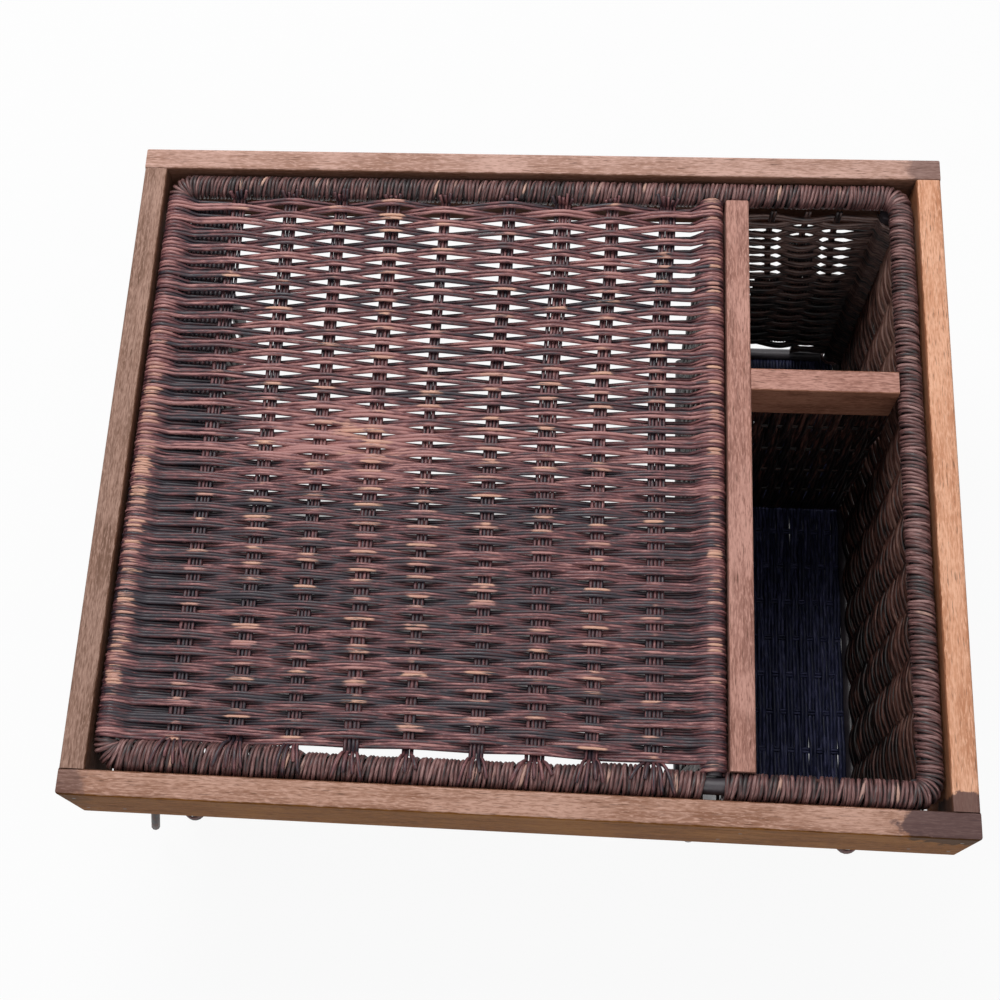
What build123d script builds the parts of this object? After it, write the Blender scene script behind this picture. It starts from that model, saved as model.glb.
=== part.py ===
"""Utensil caddy: a woven cane body with a plate deck and two deep wells, inside a gallery of boards.

Millimetres. +Z is up, the front faces -Y and the wells stand at +X.
The origin is on the ground, under the middle of the gallery.
"""

import os
from math import radians, tan

from build123d import *

os.makedirs("parts", exist_ok=True)

# Gallery of boards round the top
frame_width = 432
frame_depth = 360
caddy_height = 195
board_height = 48
board_thickness = 12.7
board_edge_round = 1.5

# Cane, rods and the room left between them
cane_thickness = 1.8
rod_diameter = 8.5
rod_sides = 8
fit = 0.2

# Bound rim
binding_diameter = 12.5
binding_sides = 12
rim_gap = 1.2
rim_drop = 1
rim_corner_radius = 10
seam_play = 0.5

# Plate deck
wells_width = 100
deck_stakes_count = 9
deck_stake_width = 5.4
deck_row_count = 42
deck_row_gap = 1.3

# Walls, floor and partition
wall_stake_width = 3.6
wall_row_pitch = 17
wall_row_gap = 2.5
wall_head_gap = 4
upright_spacing = 22
side_upright_spacing = 26
cross_stake_spacing = 30

# Posts just inside the rim, the corner ones on bound feet
foot_diameter = 13
post_inset = 5
foot_height = 9
base_rod_lift = 0.5

# Wooden bars over the wells
divider_width = 12
divider_slot = 1
cross_bar_width = 12.3
cross_bar_place = 48.5
bar_height = 28
bar_edge_round = 1

# Square brads, driven flush
brad_thickness = 1.6
brad_play = 0.05
corner_brad_length = 40
corner_brad_spread = 26
post_brad_rise = 12
post_brad_bite = 5
bar_brad_bite = 22
cross_brad_length = 36
cross_brad_spread = 12

# Places worked out from the sizes
board_bottom = caddy_height - board_height
board_middle = caddy_height - board_height / 2
side_board_length = frame_depth - 2 * board_thickness
side_board_x = (frame_width - board_thickness) / 2
end_board_y = (frame_depth - board_thickness) / 2
rod_radius = rod_diameter / 2
binding_radius = binding_diameter / 2
rim_x = frame_width / 2 - board_thickness - rim_gap - binding_radius
rim_y = frame_depth / 2 - board_thickness - rim_gap - binding_radius
rim_z = caddy_height - rim_drop - binding_radius
edge_x = rim_x - wells_width
wells_middle_x = rim_x - wells_width / 2
roll_inner = rod_radius + fit
roll_outer = roll_inner + cane_thickness
seam_width = rod_diameter + 2 * seam_play
stake_thickness = cane_thickness

post_y = rim_y - post_inset
left_post_x = -(rim_x - post_inset)
right_post_x = rim_x - post_inset
middle_post_x = edge_x + post_inset
post_top = rim_z - binding_radius - fit
foot_radius = foot_diameter / 2
base_rod_z = rod_radius + base_rod_lift
wall_bottom = max(base_rod_z + rod_radius, foot_height) + fit

bar_top = caddy_height - rim_drop
bar_bottom = bar_top - bar_height
divider_left = edge_x + roll_outer + divider_slot
divider_x = divider_left + divider_width / 2
divider_right = divider_left + divider_width
divider_length = 2 * (rim_y - binding_radius - fit)
divider_foot_length = 2 * (post_y - rod_radius - fit)
rebate_length = (divider_length - divider_foot_length) / 2
rebate_height = post_top + fit - bar_bottom
cross_bar_right = rim_x - binding_radius - fit


def write(piece, name):
    """Label a finished piece and write it as one node."""
    piece.part.label = name
    export_step(piece.part, f"parts/{name}.step")


def along_y(x, y, z):
    """A place whose axis runs along Y."""
    return Location((x, y, z), (90, 0, 0))


def along_x(x, y, z):
    """A place whose axis runs along X."""
    return Location((x, y, z), (0, 90, 0))


def drive(places, length):
    """Brads whose middles stand at the places."""
    with Locations(*places):
        Box(brad_thickness, brad_thickness, length)


def drill(places, length):
    """Square holes that the brads at the places fill."""
    hole = brad_thickness + 2 * brad_play
    with Locations(*places):
        Box(hole, hole, length, mode=Mode.SUBTRACT)


# Each list holds the middles of brads that end flush with the outer face they are driven through
corner_brad_y = (frame_depth - corner_brad_length) / 2
corner_brads_at = [
    along_y(side * side_board_x, end * corner_brad_y, board_middle + rise)
    for side in (-1, 1)
    for end in (-1, 1)
    for rise in (-corner_brad_spread / 2, corner_brad_spread / 2)
]
post_brad_length = frame_depth / 2 - post_y - rod_radius + post_brad_bite
post_brads_at = [
    along_y(x, end * (frame_depth - post_brad_length) / 2, board_bottom + post_brad_rise)
    for x in (left_post_x, middle_post_x, right_post_x)
    for end in (-1, 1)
]
bar_brad_length = (frame_depth - divider_foot_length) / 2 + bar_brad_bite
bar_brads_at = [
    along_y(divider_x, end * (frame_depth - bar_brad_length) / 2, post_top - wall_head_gap / 2) for end in (-1, 1)
]
cross_brads_at = [
    along_x(divider_left + cross_brad_length / 2, cross_bar_place, bar_bottom + bar_height / 2 + rise)
    for rise in (-cross_brad_spread / 2, cross_brad_spread / 2)
]

# Front and rear boards run the full width, and the side boards butt between them
for board_name, end in (("front_board", -1), ("rear_board", 1)):
    with BuildPart() as end_board:
        with Locations((0, end * end_board_y, board_middle)):
            Box(frame_width, board_thickness, board_height)
        top_edges = end_board.edges().filter_by(Axis.X).group_by(Axis.Z)[-1]
        corner_edges = end_board.edges().filter_by(Axis.Z).group_by(Axis.Y)[0 if end < 0 else -1]
        fillet(top_edges + corner_edges, board_edge_round)
        drill(corner_brads_at, corner_brad_length)
        drill(post_brads_at, post_brad_length)
        drill(bar_brads_at, bar_brad_length)
    write(end_board, board_name)

for board_name, side in (("left_board", -1), ("right_board", 1)):
    with BuildPart() as side_board:
        with Locations((side * side_board_x, 0, board_middle)):
            Box(board_thickness, side_board_length, board_height)
        fillet(side_board.edges().filter_by(Axis.Y).group_by(Axis.Z)[-1], board_edge_round)
        drill(corner_brads_at, corner_brad_length)
    write(side_board, board_name)

with BuildPart() as corner_brads:
    drive(corner_brads_at, corner_brad_length)
write(corner_brads, "corner_brads")

with BuildPart() as post_brads:
    drive(post_brads_at, post_brad_length)
write(post_brads, "post_brads")

# Rim rod: one loop bent round the body, bare only at the seams and under the left roll
with BuildPart() as rim_rod:
    with BuildLine(Plane.XY.offset(rim_z)) as rim_path:
        FilletPolyline(
            (-rim_x, rim_y),
            (rim_x, rim_y),
            (rim_x, -rim_y),
            (-rim_x, -rim_y),
            radius=rim_corner_radius,
            close=True,
        )
    with BuildSketch(Plane(rim_path.line @ 0, z_dir=rim_path.line % 0)):
        RegularPolygon(rod_radius, rod_sides)
    sweep()
write(rim_rod, "rim_rod")

# Cane bound round the rod: a straight stretch along each end of the deck
binding_left = -rim_x + rim_corner_radius
binding_right = edge_x - seam_width / 2
for binding_name, end in (("rim_binding_front", -1), ("rim_binding_rear", 1)):
    with BuildPart() as deck_binding:
        with BuildSketch(Plane(origin=(binding_left, end * rim_y, rim_z), z_dir=(1, 0, 0))):
            RegularPolygon(binding_radius, binding_sides)
            RegularPolygon(rod_radius + fit, rod_sides, mode=Mode.SUBTRACT)
        extrude(amount=binding_right - binding_left)
    write(deck_binding, binding_name)

# And one stretch that goes round the three outer sides of the wells
with BuildPart() as wells_binding:
    with BuildLine(Plane.XY.offset(rim_z)) as wells_path:
        FilletPolyline(
            (edge_x + seam_width / 2, rim_y),
            (rim_x, rim_y),
            (rim_x, -rim_y),
            (edge_x + seam_width / 2, -rim_y),
            radius=rim_corner_radius,
        )
    with BuildSketch(Plane(wells_path.line @ 0, z_dir=wells_path.line % 0)):
        RegularPolygon(binding_radius, binding_sides)
        RegularPolygon(rod_radius + fit, rod_sides, mode=Mode.SUBTRACT)
    sweep()
write(wells_binding, "rim_binding_wells")


def straight_rod(name, start, end):
    """A straight rod from one point to another."""
    with BuildPart() as rod:
        with BuildLine():
            Line(start, end)
        with BuildSketch(Plane(start, z_dir=Vector(*end) - Vector(*start))):
            RegularPolygon(rod_radius, rod_sides)
        sweep()
    write(rod, name)


# The rod under the deck's right edge meets the rim rod at the seams
edge_reach = rim_y - rod_radius - fit
straight_rod("deck_edge_rod", (edge_x, -edge_reach, rim_z), (edge_x, edge_reach, rim_z))

# Rods along the ground between the feet
foot_reach = post_y - foot_radius - fit
side_foot_rods = (("left_foot_rod", -rim_x), ("wells_left_foot_rod", edge_x), ("wells_right_foot_rod", rim_x))
for rod_name, rod_x in side_foot_rods:
    straight_rod(rod_name, (rod_x, -foot_reach, base_rod_z), (rod_x, foot_reach, base_rod_z))
foot_left = middle_post_x + rod_radius + fit
foot_right = right_post_x - foot_radius - fit
for rod_name, rod_y in (("wells_front_foot_rod", -post_y), ("wells_rear_foot_rod", post_y)):
    straight_rod(rod_name, (foot_left, rod_y, base_rod_z), (foot_right, rod_y, base_rod_z))

# Six posts, held to the end boards by brads; the four at the corners stand on feet bound with cane
for side_name, post_x in (("left", left_post_x), ("middle", middle_post_x), ("right", right_post_x)):
    for end_name, end in (("front", -1), ("rear", 1)):
        with BuildPart() as post:
            with BuildSketch():
                with Locations((post_x, end * post_y)):
                    RegularPolygon(rod_radius, rod_sides)
            extrude(amount=post_top)
            drill(post_brads_at, post_brad_length)
        write(post, f"{side_name}_{end_name}_post")

with BuildPart() as post_feet:
    with BuildSketch():
        with Locations(*((x, end * post_y) for x in (left_post_x, right_post_x) for end in (-1, 1))):
            RegularPolygon(foot_radius, binding_sides)
            RegularPolygon(rod_radius + fit, rod_sides, mode=Mode.SUBTRACT)
    extrude(amount=foot_height)
write(post_feet, "post_feet")


def swing(stake_width, spacing):
    """How far a weaver's middle stands off the panel's middle where it passes a stake."""
    return (cane_thickness / 2 + stake_thickness / 2 + fit) / (1 - stake_width / spacing)


def band_outline(knots):
    """Outline of a weaver of even thickness whose middle goes through the knots."""
    upper = [(u, v + cane_thickness / 2) for u, v in knots]
    lower = [(u, v - cane_thickness / 2) for u, v in reversed(knots)]
    return upper + lower


def crossings(places, side, depth):
    """Knots of a weaver that passes the stakes on one side and the other in turn."""
    return [(place, side * depth * (-1) ** turn) for turn, place in enumerate(places)]


def stake_set(name, base, places, width, span):
    """Straight stakes side by side, each a flat bundle of canes."""
    with BuildPart() as stakes:
        with BuildSketch(base.offset(-span / 2)):
            with Locations(*((place, 0) for place in places)):
                Rectangle(width, stake_thickness)
        extrude(amount=span)
    write(stakes, name)


def weaver_set(name, base, outlines, rows, pitch, width):
    """Rows of weavers; even rows take the first outline and odd rows the second."""
    with BuildPart() as weavers:
        for parity, outline in enumerate(outlines):
            starts = [pitch * (row - (rows - 1) / 2) - width / 2 for row in range(parity, rows, 2)]
            with BuildSketch(*(base.offset(start) for start in starts)):
                with BuildLine():
                    Polyline(*outline, close=True)
                make_face()
            extrude(amount=width)
    write(weavers, name)


def evenly(count, length):
    """Places that divide a length, centred on zero, into equal bays."""
    return [length * ((index + 1) / (count + 1) - 0.5) for index in range(count)]


def woven_panel(name, middle, weaver_way, stake_way, run, span, stake_spacing, head=0):
    """A flat woven panel: its stakes, and the weavers that pass in and out between them.

    The weavers stop short of the stakes' upper ends by the head.
    """
    base = Plane(middle, x_dir=weaver_way, z_dir=stake_way)
    stakes = max(2, round(run / stake_spacing) - 1)
    places = evenly(stakes, run)
    depth = swing(wall_stake_width, run / (stakes + 1))
    outlines = [
        band_outline([(-run / 2, 0)] + crossings(places, side, depth) + [(run / 2, 0)]) for side in (1, -1)
    ]
    rows = round((span - head) / wall_row_pitch)
    pitch = (span - head) / rows
    stake_set(f"{name}_stakes", base, places, wall_stake_width, span)
    weaver_set(f"{name}_weave", base.offset(-head / 2), outlines, rows, pitch, pitch - wall_row_gap)


# Plate deck: weavers roll over the rods at both sides and pass nine bundled stakes between them
deck_base = Plane((0, 0, rim_z), x_dir=(1, 0, 0), z_dir=(0, -1, 0))
deck_run = edge_x + rim_x
deck_middle = (edge_x - rim_x) / 2
deck_places = [deck_middle + place for place in evenly(deck_stakes_count, deck_run)]
deck_bay = deck_run / (deck_stakes_count + 1)
bevel = tan(radians(22.5))
end_slope_share = deck_stake_width / 2 / (deck_bay - bevel * roll_outer)
end_clearance = cane_thickness / 2 + stake_thickness / 2 + fit + end_slope_share * roll_outer
deck_swing = max(swing(deck_stake_width, deck_bay), end_clearance / (1 - end_slope_share))
deck_span = 2 * (rim_y - rim_corner_radius)
deck_stake_span = 2 * (rim_y - binding_radius - fit)


def roll(centre, radius, side):
    """The three bends of a weaver over a rod, from its outer side to the inner end of its top."""
    return [
        (centre + side * radius, bevel * radius),
        (centre + side * bevel * radius, radius),
        (centre - side * bevel * radius, radius),
    ]


deck_outlines = []
for first_side in (1, -1):
    over_stakes = crossings(deck_places, first_side, deck_swing)
    top_line = [(u, v + cane_thickness / 2) for u, v in over_stakes]
    under_line = [(u, v - cane_thickness / 2) for u, v in over_stakes]
    top_line = roll(-rim_x, roll_outer, -1) + top_line + roll(edge_x, roll_outer, 1)[::-1]
    under_line = roll(-rim_x, roll_inner, -1) + under_line + roll(edge_x, roll_inner, 1)[::-1]
    deck_outlines.append(top_line + under_line[::-1])
stake_set("deck_stakes", deck_base, deck_places, deck_stake_width, deck_stake_span)
deck_pitch = deck_span / deck_row_count
weaver_set("deck_weave", deck_base, deck_outlines, deck_row_count, deck_pitch, deck_pitch - deck_row_gap)

# Walls that hang from the rods at the deck's two sides: weavers run down, stakes run front to rear
hung_top = rim_z - rod_radius - fit
hung_height = hung_top - wall_bottom
hung_middle = (hung_top + wall_bottom) / 2
hung_span = 2 * (post_y - rod_radius - fit)
for wall_name, wall_x in (("left_wall", -rim_x), ("wells_left_wall", edge_x)):
    woven_panel(wall_name, (wall_x, 0, hung_middle), (0, 0, 1), (0, 1, 0), hung_height, hung_span, cross_stake_spacing)

# Outer walls of the wells: stakes stand upright, weavers run round
outer_height = post_top - wall_bottom
outer_middle = (post_top + wall_bottom) / 2
end_wall_left = middle_post_x + rod_radius + fit
end_wall_right = right_post_x - rod_radius - fit
end_wall_run = end_wall_right - end_wall_left
end_wall_x = (end_wall_left + end_wall_right) / 2
for wall_name, end in (("wells_front_wall", -1), ("wells_rear_wall", 1)):
    woven_panel(wall_name, (end_wall_x, end * post_y, outer_middle), (1, 0, 0), (0, 0, 1), end_wall_run,
                outer_height, upright_spacing, wall_head_gap)
woven_panel("wells_right_wall", (rim_x, 0, outer_middle), (0, 1, 0), (0, 0, 1), hung_span, outer_height,
            side_upright_spacing, wall_head_gap)

# Floor of the wells, between the rods on the ground
floor_run = 2 * (post_y - foot_radius - fit)
floor_span = wells_width - rod_diameter - 2 * fit
woven_panel("wells_floor", (wells_middle_x, 0, base_rod_z), (0, 1, 0), (1, 0, 0), floor_run, floor_span,
            upright_spacing)

# Partition under the cross bar, from the floor up
panel_half = swing(wall_stake_width, upright_spacing) + cane_thickness / 2
partition_bottom = max(base_rod_z + panel_half + fit, wall_bottom)
partition_top = bar_bottom - fit
partition_height = partition_top - partition_bottom
partition_span = wells_width - 2 * (panel_half + 2 * fit)
woven_panel("wells_partition", (wells_middle_x, cross_bar_place, (partition_bottom + partition_top) / 2), (0, 0, 1),
            (1, 0, 0), partition_height, partition_span, cross_stake_spacing)

# Bars: brads through the end boards, over the walls' top row, hold the divider, which carries the cross bar
with BuildPart() as divider_bar:
    with Locations((divider_x, 0, bar_bottom + bar_height / 2)):
        Box(divider_width, divider_length, bar_height)
    # Its lower ends are cut back from the posts and walls that it stands between
    rebate_y = (divider_length - rebate_length) / 2
    with Locations(*((divider_x, end * rebate_y, bar_bottom + rebate_height / 2) for end in (-1, 1))):
        Box(divider_width, rebate_length, rebate_height, mode=Mode.SUBTRACT)
    fillet(divider_bar.edges().filter_by(Axis.Y).group_by(Axis.Z)[-1], bar_edge_round)
    drill(bar_brads_at, bar_brad_length)
    drill(cross_brads_at, cross_brad_length)
write(divider_bar, "divider_bar")

with BuildPart() as cross_bar:
    with Locations(((divider_right + cross_bar_right) / 2, cross_bar_place, bar_bottom + bar_height / 2)):
        Box(cross_bar_right - divider_right, cross_bar_width, bar_height)
    fillet(cross_bar.edges().filter_by(Axis.X).group_by(Axis.Z)[-1], bar_edge_round)
    drill(cross_brads_at, cross_brad_length)
write(cross_bar, "cross_bar")

with BuildPart() as bar_brads:
    drive(bar_brads_at, bar_brad_length)
    drive(cross_brads_at, cross_brad_length)
write(bar_brads, "bar_brads")
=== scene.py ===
"""Looks of the utensil caddy: woven cane strands, bound rim, worn boards, light and camera.

Metres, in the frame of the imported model: +Z is up, the front faces -Y and the wells stand at +X.
"""

import random
from dataclasses import dataclass
from math import cos, hypot, inf, pi, radians, sin
from typing import Callable

import bmesh
import bpy
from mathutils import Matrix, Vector, noise


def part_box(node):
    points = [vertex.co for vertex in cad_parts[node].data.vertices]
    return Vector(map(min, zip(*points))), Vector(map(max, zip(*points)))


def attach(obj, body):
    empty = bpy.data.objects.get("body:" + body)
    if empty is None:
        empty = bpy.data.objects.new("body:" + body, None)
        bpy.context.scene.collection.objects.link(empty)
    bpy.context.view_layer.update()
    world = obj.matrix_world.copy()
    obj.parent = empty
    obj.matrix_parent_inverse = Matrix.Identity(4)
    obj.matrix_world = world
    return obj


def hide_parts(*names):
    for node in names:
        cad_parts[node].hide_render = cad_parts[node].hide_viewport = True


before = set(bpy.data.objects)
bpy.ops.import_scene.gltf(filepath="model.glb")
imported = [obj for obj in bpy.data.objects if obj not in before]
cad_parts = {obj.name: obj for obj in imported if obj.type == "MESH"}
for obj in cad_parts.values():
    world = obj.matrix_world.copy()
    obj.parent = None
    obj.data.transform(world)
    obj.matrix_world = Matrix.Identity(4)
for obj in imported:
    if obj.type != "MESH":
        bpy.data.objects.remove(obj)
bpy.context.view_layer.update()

MM = 0.001
X, Y, Z = 0, 1, 2


def corners(node):
    """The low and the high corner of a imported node."""
    return [Vector(corner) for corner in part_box(node)]


def middle(node):
    """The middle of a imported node's box."""
    low, high = corners(node)
    return (low + high) / 2


# Cane strands
STRAND_RADIUS = 0.86 * MM
BAY_SHARES = (0.13, 0.30, 0.50, 0.70, 0.87, 1.0)

# Rows of the deck: number of strands, their radius and the step between them
DECK_ROWS = 72
TIGHT_ROW = (3, 0.96 * MM, 1.50 * MM)
OPEN_ROW = (2, 1.10 * MM, 2.08 * MM)
TIGHT_SHARE = 0.53
TIGHT_SWING = 2.1 * MM
OPEN_SWING = 3.0 * MM
MIDDLE_CROWN = 0.45 * MM
DECK_FRONT_MARGIN = 10.7 * MM
DECK_REAR_MARGIN = 7.4 * MM

# Rolls over the rods, in degrees, and the dive from there
ROLL_STEPS = 7
ROLL_FOOT = 205
ROLL_SWEEP = 140
ROLL_END = ROLL_FOOT - ROLL_SWEEP
DIVE_LENGTH = 11 * MM
DIVE_SHARES = (0.35, 0.70, 1.0)
# Radius of the darkest canes under the first bay, which are painted shade
FIRST_BAY_SHADE_CANE_RADIUS = 1.3 * MM
EDGE_TURN_RADIUS = 1.3 * MM

# Tones of the deck
RED_PATCH = (-93 * MM, 10 * MM)
RED_PATCH_REACH = (50 * MM, 25 * MM)
DARK_BAND_Y = -26 * MM
LEFT_BAND_Y = -76 * MM

# Stakes of the deck, from the left
STAKE_PLACES = tuple(place * MM for place in (-162.5, -133, -105, -77, -49.5, -16, 12, 38.5, 67))
STAKE_STRANDS = (4, 4, 4, 4, 3, 4, 5, 4, 5)
STAKE_WEAR = (0.35, 0.75, 0.40, 0.95, 0.90, 0.75, 0.45, 0.70, 0.45)
DECK_STAKES = len(STAKE_PLACES)
STAKE_RADIUS = 1.05 * MM
STAKE_LEAN = 5 * MM
LAP_STEPS = 6

# Turns of cane round the rim, and the cane that fills them
TURN_RADIUS = 1.05 * MM
TURN_PITCH = 6.0 * MM
TURN_STRANDS = 3
TURN_STEPS = 14
CORE_RADIUS = 1.6 * MM
CORE_ASIDE = 4.2 * MM
CORE_RISE = -3.1 * MM

# Rods and feet
ROD_STEP = 4 * MM
ROD_JOINT_STEPS = 19
HOOP_STEPS = 300
FOOT_TURN_STEPS = 18

# Walls and floor of the wells, and the left wall
WALL_ROW_PITCH = 4.1 * MM
WALL_STAKE_RADIUS = 0.9 * MM
# Darkest canes beside each stake, painted shade that closes the rear wall's lower gaps
SHADE_BACKING_CANES = 6

# Rear wall of the wells, with a bright window and a slot
REAR_ROW_PITCH = 4.75 * MM
REAR_STAKES = (133.5 * MM, 152 * MM, 168.5 * MM)
REAR_LEAN = 0.13
REAR_LEAN_MIDDLE = 132 * MM
REAR_LEAN_REACH = 25 * MM
WINDOW_FOOT = 109 * MM
WINDOW_TOP = 166 * MM
WINDOW_ASIDE = 4.4 * MM
SLOT_END = 164 * MM
SLOT_ROWS = 1.8

# Loose cane end, in millimetres
LOOSE_END_RADIUS = 2.6 * MM
LOOSE_END_TIP = 18
LOOSE_END_ROUTE = (
    (-195.9, -146, 104), (-196.6, -152, 92), (-198.4, -158, 76), (-201.6, -163, 57),
    (-206, -166.5, 36), (-209.5, -168, 20), (-210.4, -168.3, 16),
)

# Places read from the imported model
RIM_LOW, RIM_HIGH = corners("rim_rod")
ROD_RADIUS = (RIM_HIGH.z - RIM_LOW.z) / 2
RIM_X = RIM_HIGH.x - ROD_RADIUS
RIM_Y = RIM_HIGH.y - ROD_RADIUS
RIM_Z = (RIM_HIGH.z + RIM_LOW.z) / 2
BINDING_LOW, BINDING_HIGH = corners("rim_binding_front")
BINDING_RADIUS = (BINDING_HIGH.z - BINDING_LOW.z) / 2
CORNER_BEND = 0.8 * (BINDING_LOW.x + RIM_X)
RIM_BEND = pi * CORNER_BEND / 2
RIM_ACROSS = 2 * (RIM_X - CORNER_BEND)
RIM_DEEP = 2 * (RIM_Y - CORNER_BEND)
RIM_LENGTH = 4 * RIM_BEND + 2 * RIM_ACROSS + 2 * RIM_DEEP
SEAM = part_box("rim_binding_wells")[0][X]
DECK_LOW, DECK_HIGH = corners("deck_weave")
EDGE_X = middle("deck_edge_rod").x


def smooth(low, high, value):
    """Ease from 0 at low to 1 at high."""
    share = min(max((value - low) / (high - low), 0.0), 1.0)
    return share * share * (3 - 2 * share)


def ease(low, high, value):
    """Ease from 0 at low to 1 at high, both in millimetres."""
    return smooth(low * MM, high * MM, value)


def stations(low, high, steps):
    """Places from low to high in equal steps."""
    return [low + (high - low) * step / steps for step in range(steps + 1)]


def wander(x, y, z):
    """Smooth noise between -1 and 1."""
    return noise.noise(Vector((x, y, z)))


# Strands


class Strand:
    """A route of points with a radius, a tone and a share of wear at each."""

    def __init__(self, radius, tone):
        self.points, self.radii, self.tones, self.wears = [], [], [], []
        self.radius = radius
        self.tone = tone

    def add(self, point, tone=0.0, wear=0.0, swell=1.0):
        """Go on to a point; its tone is added to the strand's own."""
        self.points.append(Vector(point))
        self.radii.append(self.radius * swell / STRAND_RADIUS)
        self.tones.append(min(max(self.tone + tone, 0.0), 1.0))
        self.wears.append(min(max(wear, 0.0), 1.0))


def swept_mesh(name, routes, depth, resolution, caps=False, closed=False):
    """A round section swept along routes of points and their shares of its depth."""
    lay = bpy.data.curves.new(name, "CURVE")
    lay.dimensions = "3D"
    lay.bevel_depth = depth
    lay.bevel_resolution = resolution
    lay.use_fill_caps = caps
    for points, radii in routes:
        spline = lay.splines.new("POLY")
        spline.points.add(len(points) - 1)
        spline.points.foreach_set("co", [value for point in points for value in (*point, 1.0)])
        spline.points.foreach_set("radius", radii)
        spline.use_cyclic_u = closed
    carrier = bpy.data.objects.new(name, lay)
    mesh = bpy.data.meshes.new_from_object(carrier)
    bpy.data.objects.remove(carrier)
    bpy.data.curves.remove(lay)
    mesh.name = name
    return mesh


def strand_mesh(name, strands, resolution):
    """Strands as one mesh with tone, wear and run attributes."""
    routes = [(strand.points, strand.radii) for strand in strands]
    mesh = swept_mesh(name, routes, STRAND_RADIUS, resolution)
    sides = len(mesh.vertices) // sum(len(strand.points) for strand in strands)
    shape = bmesh.new()
    shape.from_mesh(mesh)
    tone, wear, run = (shape.verts.layers.float.new(label) for label in ("tone", "wear", "run"))
    verts = iter(shape.verts)
    for number, strand in enumerate(strands):
        length = 0.37 * number
        before = strand.points[0]
        for point, tone_here, wear_here in zip(strand.points, strand.tones, strand.wears):
            length += (point - before).length
            before = point
            for _ in range(sides):
                vert = next(verts)
                vert[tone] = tone_here
                vert[wear] = wear_here
                vert[run] = length
    bmesh.ops.holes_fill(shape, edges=[edge for edge in shape.edges if edge.is_boundary], sides=0)
    shape.to_mesh(mesh)
    shape.free()
    mesh.shade_smooth()
    return mesh


def add_object(name, data):
    """Put an object in the scene."""
    made = bpy.data.objects.new(name, data)
    bpy.context.scene.collection.objects.link(made)
    return made


def place(name, mesh, material, slot, *nodes):
    """Put a mesh in the scene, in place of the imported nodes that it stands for."""
    mesh.materials.append(material)
    piece = add_object(name, mesh)
    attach(piece, "root")
    if nodes:
        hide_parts(*nodes)


def place_strands(name, strands, material, slot, *nodes, resolution=1):
    """Put strands in the scene as one piece."""
    place(name, strand_mesh(name, list(strands), resolution), material, slot, *nodes)


# Deck


def deck_stake_x(index, y):
    """Where a deck stake stands: those near the wells lean towards them at the rear."""
    home = STAKE_PLACES[index]
    lean = STAKE_LEAN * ease(20, 150, y) * ease(-120, 60, home)
    return home + lean + 1.2 * MM * wander(index * 3.7, y * 9, 0.5)


def red_patch(x, y):
    """Share of the rubbed red patch left of the deck's middle."""
    away = hypot((x - RED_PATCH[X]) / RED_PATCH_REACH[X], (y - RED_PATCH[Y]) / RED_PATCH_REACH[Y])
    return smooth(1.25, 0.3, away)


def first_bay(x):
    """Share of the bay between the left roll and the first stake, where painted shade darkens the deck."""
    right = smooth(STAKE_PLACES[0], STAKE_PLACES[0] - 9 * MM, x)
    return smooth(-RIM_X + 3 * MM, -RIM_X + 8 * MM, x) * right


def deck_tone(x, y):
    """How much lighter or darker the deck is at a place, with painted light towards the rear and painted
    shade towards the front.
    """
    tone = 0.12 * wander(x * 14, y * 14, 3.1) + 0.08 * wander(x * 50, y * 50, 7.7)
    tone -= 0.24 * ease(10, 4, abs(y - DARK_BAND_Y + 5 * MM * wander(x * 12, 0.3, 0)))
    tone -= 0.24 * ease(9, 3, abs(y - LEFT_BAND_Y)) * ease(-60, -100, x)
    tone += 0.52 * red_patch(x, y)
    # Painted light towards the rear and painted shade towards the front of the deck
    return tone + 0.12 * ease(-60, 0, y) - 0.11 * ease(-45, -80, y)


def deck_row_shift(row, x):
    """The first rows lie against the rim at the left and near it at the right."""
    left = 1.3 * ease(-75, -125, x)
    right = 1.2 * ease(0, 70, x)
    return -MM * smooth(16.0, 0.0, row) * (left + right)


def deck_weavers():
    """Rows of strands that roll over both rods and pass the stakes over and under in turn."""
    chance = random.Random(11)
    front = -RIM_Y + DECK_FRONT_MARGIN
    pitch = (2 * RIM_Y - DECK_FRONT_MARGIN - DECK_REAR_MARGIN) / DECK_ROWS
    for row in range(DECK_ROWS):
        share = (row + 0.5) / DECK_ROWS
        y_row = front + pitch * (row + 0.5) + 0.2 * MM * chance.uniform(-1, 1)
        tight = share < TIGHT_SHARE + 0.05 * chance.uniform(-1, 1)
        count, radius, step = TIGHT_ROW if tight else OPEN_ROW
        row_tone = chance.uniform(0.22, 0.52)
        swing = TIGHT_SWING + (OPEN_SWING - TIGHT_SWING) * smooth(0.45, 0.78, share)
        lifts = [swing * chance.uniform(0.82, 1.14) for _ in range(DECK_STAKES)]
        stray = chance.uniform(0, 90)
        for number in range(count):
            strand = Strand(radius * chance.uniform(0.93, 1.06), row_tone + chance.uniform(-0.21, 0.21))
            side_step = (number - (count - 1) / 2) * step
            crown = MIDDLE_CROWN if tight and number == 1 else 0.0
            worn = [chance.random() for _ in range(DECK_STAKES + 2)]
            reach = [chance.uniform(0.16, 0.42) for _ in range(DECK_STAKES)]
            weave_across(strand, row, y_row, side_step, crown, lifts, worn, reach, stray + 0.25 * number)
            yield strand
    # The first bay's darkest canes are painted shade
    yield from first_bay_shade_canes()
    yield from edge_rod_turns()


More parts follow.
